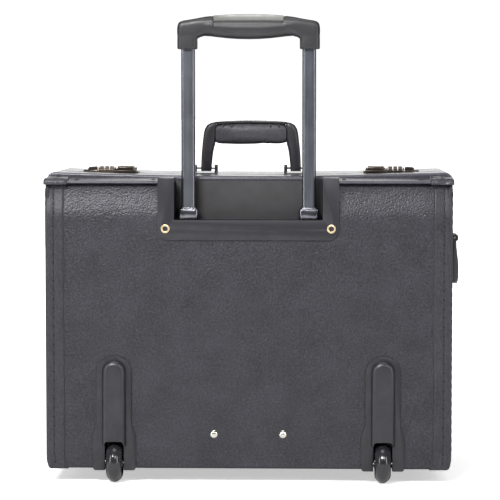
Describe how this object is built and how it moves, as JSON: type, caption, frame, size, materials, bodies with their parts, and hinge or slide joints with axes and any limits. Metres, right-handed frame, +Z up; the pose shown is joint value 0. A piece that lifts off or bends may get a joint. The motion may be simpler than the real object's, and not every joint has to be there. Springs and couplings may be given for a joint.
{
  "type": "rolling laptop case",
  "caption": "Box-shaped wheeled laptop case with a telescoping pull handle, two-leaf lid with dial locks, folding carry handle and side handle.",
  "frame": {"origin": "on the floor under the middle of the case box", "axes": "+Z up, +X along the long side, -Y towards the side with wheels and pull handle"},
  "size_m": [0.5677, 0.2745, 0.637],
  "materials": {
    "case_vinyl": "pebbled black vinyl over board, satin",
    "binding_vinyl": "stitched edge band, matte",
    "lining_cloth": "thin woven lining, matte",
    "divider_foam": "padded nylon",
    "strap_web": "woven strap",
    "inner_board": "covered fibre board",
    "black_plastic": "fine moulded texture",
    "well_plastic": "fine moulded texture, dark",
    "gunmetal_tube": "gunmetal, satin",
    "collar_plastic": "satin",
    "grip_plastic": "soft-touch",
    "button_plastic": "light grey, satin",
    "bright_steel": "polished",
    "plain_steel": "zinc plated",
    "wheel_tyre": "smooth cast urethane",
    "wheel_hub": "gloss",
    "foot_rubber": "matte",
    "lock_metal": "dark nickel",
    "dial_metal": "nickel",
    "ear_metal": "black",
    "handle_vinyl": "padded vinyl and moulded ends",
    "lock_black": "satin"
  },
  "bodies": {
    "case": {"back_panel": "case_vinyl", "front_panel": "case_vinyl", "bottom_panel": "case_vinyl", "end_panels": "case_vinyl", "rear_deck": "case_vinyl", "front_deck": "case_vinyl", "deck_rivets": "bright_steel", "edge_bindings": "binding_vinyl", "rim_caps": "binding_vinyl", "interior_lining": "lining_cloth", "laptop_divider": "divider_foam", "divider_strap": "strap_web", "false_back": "inner_board", "handle_well": "well_plastic", "well_bezel": "black_plastic", "bezel_screws": "bright_steel", "bracket_rivets": "bright_steel", "outer_tubes": "gunmetal_tube", "tube_bracket": "plain_steel", "wheel_housings": "black_plastic", "wheel_axles": "plain_steel", "feet": "foot_rubber", "foot_screws": "plain_steel", "side_brackets": "ear_metal", "side_pins": "plain_steel"},
    "handle_middle": {"middle_tubes": "gunmetal_tube", "tube_collars": "collar_plastic"},
    "handle_upper": {"inner_tubes": "gunmetal_tube", "pull_grip": "grip_plastic"},
    "grip_button": {"release_button": "button_plastic", "release_bar": "plain_steel"},
    "wheel_left": {"tyre_left": "wheel_tyre", "wheel_hub_left": "wheel_hub", "wheel_bearings_left": "plain_steel"},
    "wheel_right": {"tyre_right": "wheel_tyre", "wheel_hub_right": "wheel_hub", "wheel_bearings_right": "plain_steel"},
    "lid_rear": {"lid_rear_leaf": "case_vinyl", "lock_strikes": "lock_metal"},
    "lid_front": {"lid_front_leaf": "case_vinyl", "lock_plates": "lock_metal", "dial_axles": "plain_steel", "hasp_pins": "plain_steel", "carry_brackets": "ear_metal", "carry_pins": "plain_steel"},
    "carry_handle": {"carry_handle_core": "handle_vinyl", "carry_handle_strip": "black_plastic", "carry_handle_studs": "bright_steel"},
    "side_handle": {"side_handle_core": "handle_vinyl", "side_handle_strip": "black_plastic"},
    "hasp_left": {"lock_hasp_left": "lock_metal"},
    "slide_left": {"lock_slide_left": "lock_black"},
    "number_dial_left_1": {"dial_left_1": "dial_metal"},
    "number_dial_left_2": {"dial_left_2": "dial_metal"},
    "number_dial_left_3": {"dial_left_3": "dial_metal"},
    "hasp_right": {"lock_hasp_right": "lock_metal"},
    "slide_right": {"lock_slide_right": "lock_black"},
    "number_dial_right_1": {"dial_right_1": "dial_metal"},
    "number_dial_right_2": {"dial_right_2": "dial_metal"},
    "number_dial_right_3": {"dial_right_3": "dial_metal"}
  },
  "joints": [
    {"name": "pull_middle_slide", "type": "slide", "parent": "case", "child": "handle_middle", "axis": [0, 0, 1], "range_m": [0, 0.2]},
    {"name": "pull_upper_slide", "type": "slide", "parent": "handle_middle", "child": "handle_upper", "axis": [0, 0, 1], "range_m": [-0.213, 0]},
    {"name": "release_press", "type": "slide", "parent": "handle_upper", "child": "grip_button", "axis": [0, 0, -1], "range_m": [0, 0.003], "stiffness_N_per_m": 1200, "springref_m": -0.002},
    {"name": "lid_rear_open", "type": "hinge", "parent": "case", "child": "lid_rear", "pos_m": [0, -0.08225, 0.4228], "axis": [1, 0, 0], "range_deg": [0, 100]},
    {"name": "lid_front_open", "type": "hinge", "parent": "case", "child": "lid_front", "pos_m": [0, 0.11925, 0.4228], "axis": [-1, 0, 0], "range_deg": [0, 175]},
    {"name": "carry_handle_swing", "type": "hinge", "parent": "lid_front", "child": "carry_handle", "pos_m": [0, 0, 0.426], "axis": [1, 0, 0], "range_deg": [-80, 80]},
    {"name": "side_handle_swing", "type": "hinge", "parent": "case", "child": "side_handle", "pos_m": [0.282, 0, 0.333], "axis": [0, -1, 0], "range_deg": [0, 95]},
    {"name": "wheel_left_roll", "type": "hinge", "parent": "case", "child": "wheel_left", "pos_m": [-0.183, -0.12, 0.0275], "axis": [1, 0, 0], "continuous": true},
    {"name": "hasp_left_lift", "type": "hinge", "parent": "lid_front", "child": "hasp_left", "pos_m": [-0.1755, 0.007, 0.4242], "axis": [-1, 0, 0], "range_deg": [0, 105]},
    {"name": "slide_left_push", "type": "slide", "parent": "lid_front", "child": "slide_left", "axis": [-1, 0, 0], "range_m": [0, 0.006], "stiffness_N_per_m": 300, "springref_m": -0.002},
    {"name": "dial_left_1_turn", "type": "hinge", "parent": "lid_front", "child": "number_dial_left_1", "pos_m": [-0.19575, -0.004, 0.422], "axis": [1, 0, 0], "continuous": true},
    {"name": "dial_left_2_turn", "type": "hinge", "parent": "lid_front", "child": "number_dial_left_2", "pos_m": [-0.20275, -0.004, 0.422], "axis": [1, 0, 0], "continuous": true},
    {"name": "dial_left_3_turn", "type": "hinge", "parent": "lid_front", "child": "number_dial_left_3", "pos_m": [-0.20975, -0.004, 0.422], "axis": [1, 0, 0], "continuous": true},
    {"name": "wheel_right_roll", "type": "hinge", "parent": "case", "child": "wheel_right", "pos_m": [0.183, -0.12, 0.0275], "axis": [1, 0, 0], "continuous": true},
    {"name": "hasp_right_lift", "type": "hinge", "parent": "lid_front", "child": "hasp_right", "pos_m": [0.1755, 0.007, 0.4242], "axis": [-1, 0, 0], "range_deg": [0, 105]},
    {"name": "slide_right_push", "type": "slide", "parent": "lid_front", "child": "slide_right", "axis": [1, 0, 0], "range_m": [0, 0.006], "stiffness_N_per_m": 300, "springref_m": -0.002},
    {"name": "dial_right_1_turn", "type": "hinge", "parent": "lid_front", "child": "number_dial_right_1", "pos_m": [0.19575, -0.004, 0.422], "axis": [1, 0, 0], "continuous": true},
    {"name": "dial_right_2_turn", "type": "hinge", "parent": "lid_front", "child": "number_dial_right_2", "pos_m": [0.20275, -0.004, 0.422], "axis": [1, 0, 0], "continuous": true},
    {"name": "dial_right_3_turn", "type": "hinge", "parent": "lid_front", "child": "number_dial_right_3", "pos_m": [0.20975, -0.004, 0.422], "axis": [1, 0, 0], "continuous": true}
  ]
}
